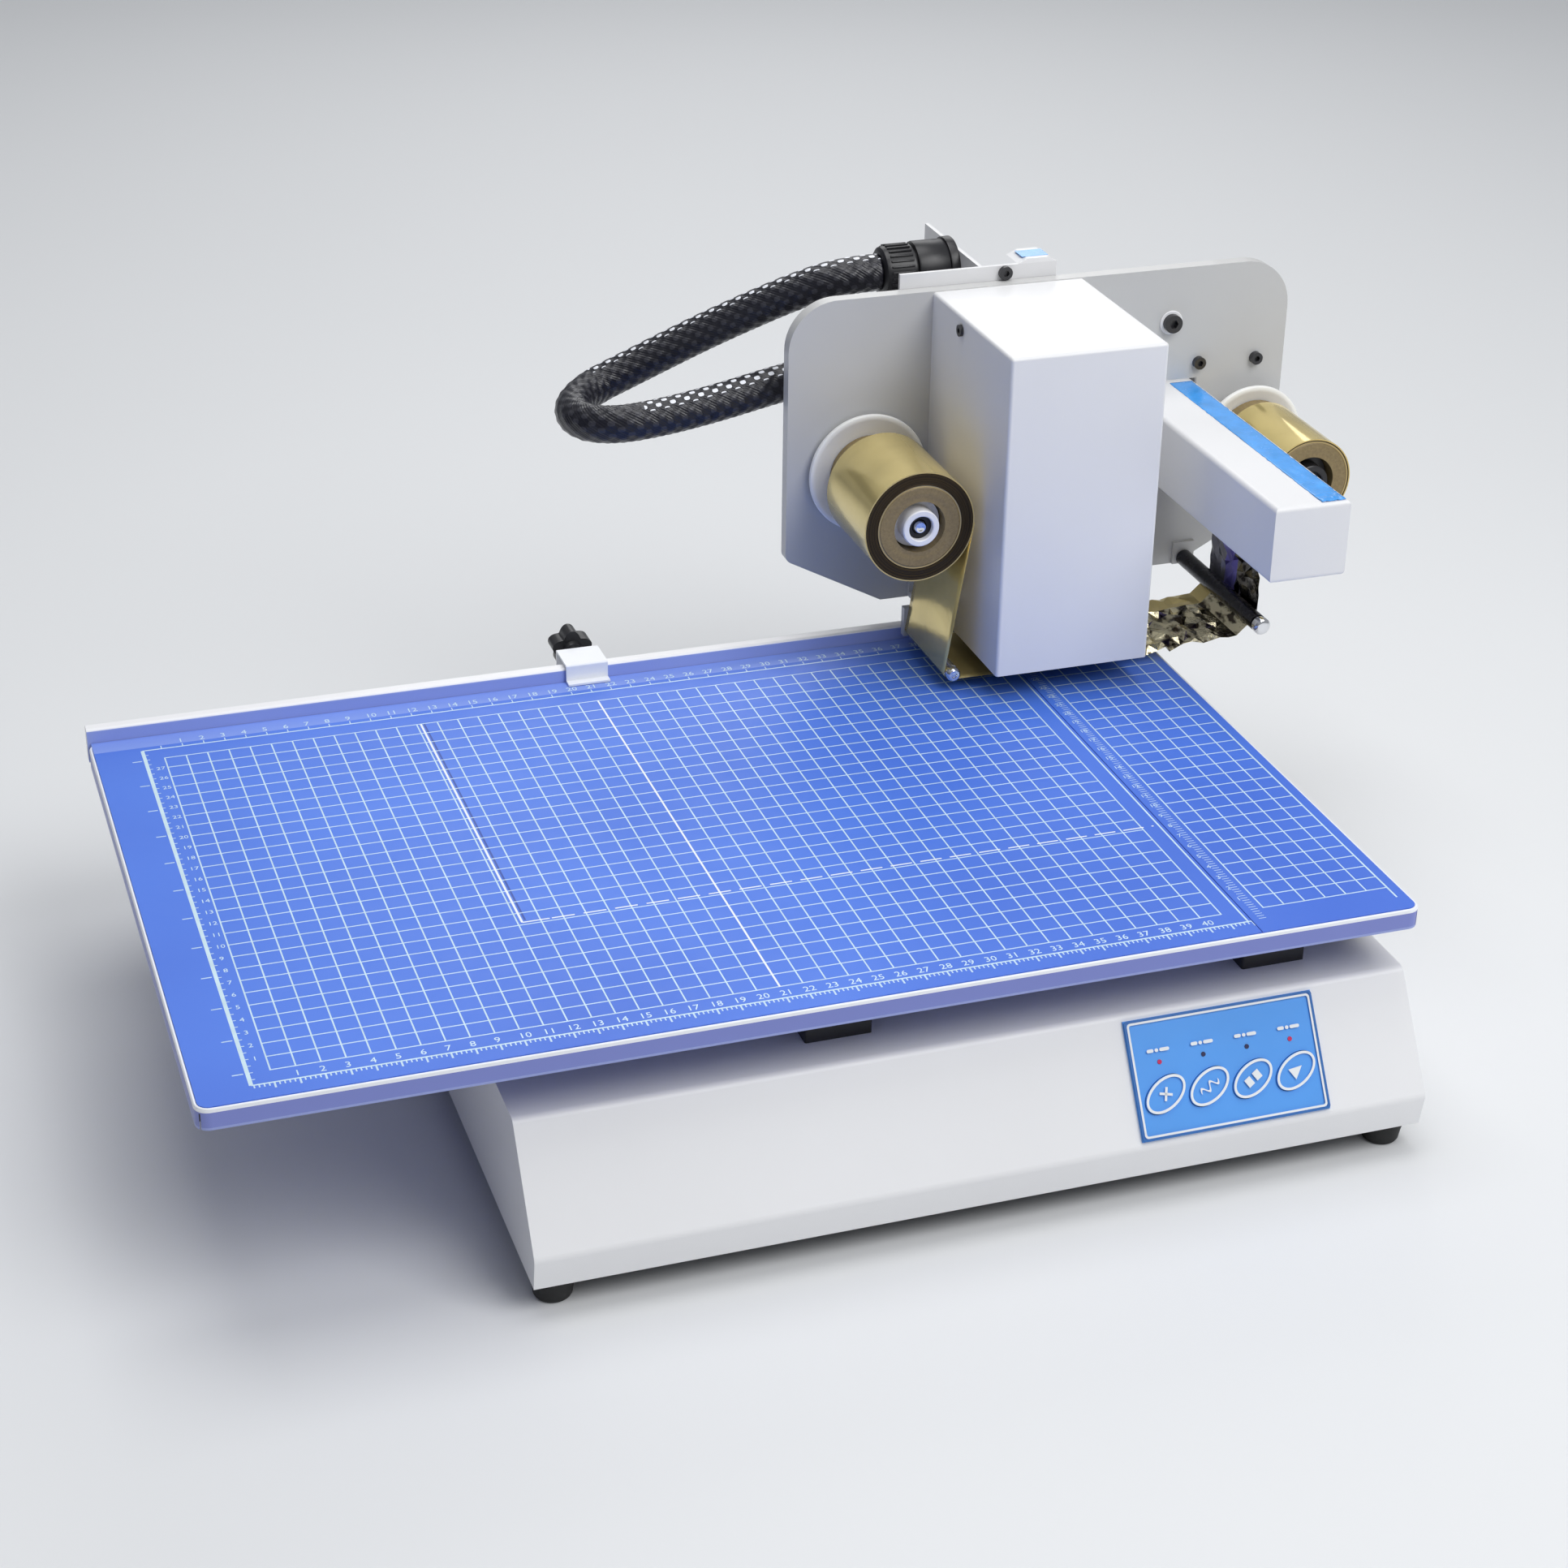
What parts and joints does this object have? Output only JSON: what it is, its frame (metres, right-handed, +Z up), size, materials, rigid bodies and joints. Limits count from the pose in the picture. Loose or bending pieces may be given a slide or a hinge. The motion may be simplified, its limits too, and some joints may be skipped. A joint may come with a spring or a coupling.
{
  "type": "flatbed foil printer",
  "caption": "Desktop flatbed machine with a sliding gridded blue bed, a foil spool head on a cross beam, a sloping key panel and a braided cable hose.",
  "frame": {"origin": "on the table under the middle of the machine: bottom centre of the bounding box without the hose", "axes": "+X to the right along the bed's travel, +Y to the back, +Z up"},
  "size_m": [0.628, 0.4473, 0.3005],
  "materials": {
    "white_paint": "satin",
    "plate_paint": "satin",
    "lavender_paint": "satin",
    "mat_blue": "matte",
    "panel_blue": "satin",
    "key_blue": "satin",
    "lamp_red": "gloss",
    "black_plastic": "matte",
    "rubber": "matte",
    "steel": "ground",
    "black_metal": "satin",
    "screw_black": "satin",
    "aluminium": "machined",
    "board_green": "matte",
    "belt_rubber": "matte",
    "foil_gold": "mirror-like foil",
    "core_card": "matte",
    "flange_white": "satin",
    "hub_white": "satin",
    "chrome": "polished",
    "hose_braid": "braided",
    "clip_steel": "satin"
  },
  "bodies": {
    "base": {"base_shell": "white_paint", "base_plate": "black_metal", "rubber_feet": "rubber", "control_panel": "panel_blue", "key_board": "board_green", "status_lamps": "lamp_red", "power_inlet": "black_plastic", "switch_housing": "black_plastic", "usb_socket": "aluminium", "power_supply": "aluminium", "controller_board": "board_green", "bearing_blocks": "black_metal", "bed_motor": "black_metal", "rear_column": "white_paint", "beam_cover": "white_paint", "guide_rail": "steel", "lower_hose_gland": "black_plastic", "braided_hose": "hose_braid"},
    "bed": {"bed_rails": "steel", "rail_supports": "black_metal", "bed_tray": "lavender_paint", "cutting_mat": "mat_blue", "side_mat": "mat_blue", "rear_fence": "lavender_paint", "drive_belt": "belt_rubber", "belt_clamps": "aluminium"},
    "clip": {"stop_clip": "clip_steel"},
    "knob": {"clamp_knob": "black_plastic"},
    "pulley": {"drive_pulley": "aluminium"},
    "rocker": {"power_rocker": "black_plastic"},
    "head": {"head_plate": "plate_paint", "head_cover": "white_paint", "head_carriage": "black_metal", "plate_screws": "screw_black", "cover_screws": "screw_black", "head_frame": "aluminium", "press_motor": "black_metal", "left_guide_rod": "chrome", "right_guide_bar": "black_metal", "guide_brackets": "aluminium", "foil_web": "foil_gold", "rear_bracket": "black_metal", "hump_cover": "white_paint", "upper_hose_gland": "black_plastic", "foil_motor": "black_metal", "supply_bearing": "aluminium"},
    "press": {"print_head": "black_metal", "heat_sink": "aluminium"},
    "supply": {"supply_spindle": "hub_white", "supply_flange": "flange_white", "supply_core": "core_card", "supply_foil": "foil_gold"},
    "take_up": {"take_up_spindle": "black_plastic", "take_up_flange": "flange_white", "take_up_core": "core_card", "take_up_foil": "foil_gold"},
    "cancel_key": {"cancel_button": "key_blue"},
    "test_key": {"test_button": "key_blue"},
    "repeat_key": {"repeat_button": "key_blue"},
    "start_key": {"start_button": "key_blue"}
  },
  "joints": [
    {"name": "bed_slide", "type": "slide", "parent": "base", "child": "bed", "axis": [1, 0, 0], "range_m": [-0.02, 0.236]},
    {"name": "clip_slide", "type": "slide", "parent": "bed", "child": "clip", "axis": [1, 0, 0], "range_m": [-0.225, 0.24]},
    {"name": "knob_turn", "type": "hinge", "parent": "clip", "child": "knob", "pos_m": [-0.0705, 0.15625, 0.115], "axis": [0, 1, 0], "range_deg": [-180, 180]},
    {"name": "pulley_spin", "type": "hinge", "parent": "base", "child": "pulley", "pos_m": [0.0435, -0.02975, 0.088], "axis": [0, 0, 1], "continuous": true},
    {"name": "head_slide", "type": "slide", "parent": "base", "child": "head", "axis": [0, 1, 0], "range_m": [-0.15, 0]},
    {"name": "press_slide", "type": "slide", "parent": "head", "child": "press", "axis": [0, 0, 1], "range_m": [-0.0045, 0]},
    {"name": "supply_spin", "type": "hinge", "parent": "head", "child": "supply", "pos_m": [0.079, 0.10025, 0.1995], "axis": [0, 1, 0], "continuous": true},
    {"name": "take_up_spin", "type": "hinge", "parent": "head", "child": "take_up", "pos_m": [0.2865, 0.10025, 0.199], "axis": [0, 1, 0], "continuous": true},
    {"name": "power_rock", "type": "hinge", "parent": "base", "child": "rocker", "pos_m": [-0.097, 0.20145, 0.0425], "axis": [0, 0, 1], "range_deg": [-6, 6]},
    {"name": "cancel_press", "type": "slide", "parent": "base", "child": "cancel_key", "axis": [0, 0.841, -0.541], "range_m": [0, 0.0008], "stiffness_N_per_m": 400},
    {"name": "test_press", "type": "slide", "parent": "base", "child": "test_key", "axis": [0, 0.841, -0.541], "range_m": [0, 0.0008], "stiffness_N_per_m": 400},
    {"name": "repeat_press", "type": "slide", "parent": "base", "child": "repeat_key", "axis": [0, 0.841, -0.541], "range_m": [0, 0.0008], "stiffness_N_per_m": 400},
    {"name": "start_press", "type": "slide", "parent": "base", "child": "start_key", "axis": [0, 0.841, -0.541], "range_m": [0, 0.0008], "stiffness_N_per_m": 400}
  ],
  "couplings": [
    {"joint": "pulley_spin", "follows": "bed_slide", "rad_per_m": -107.5},
    {"joint": "supply_spin", "follows": "take_up_spin", "ratio": 0.8036}
  ]
}
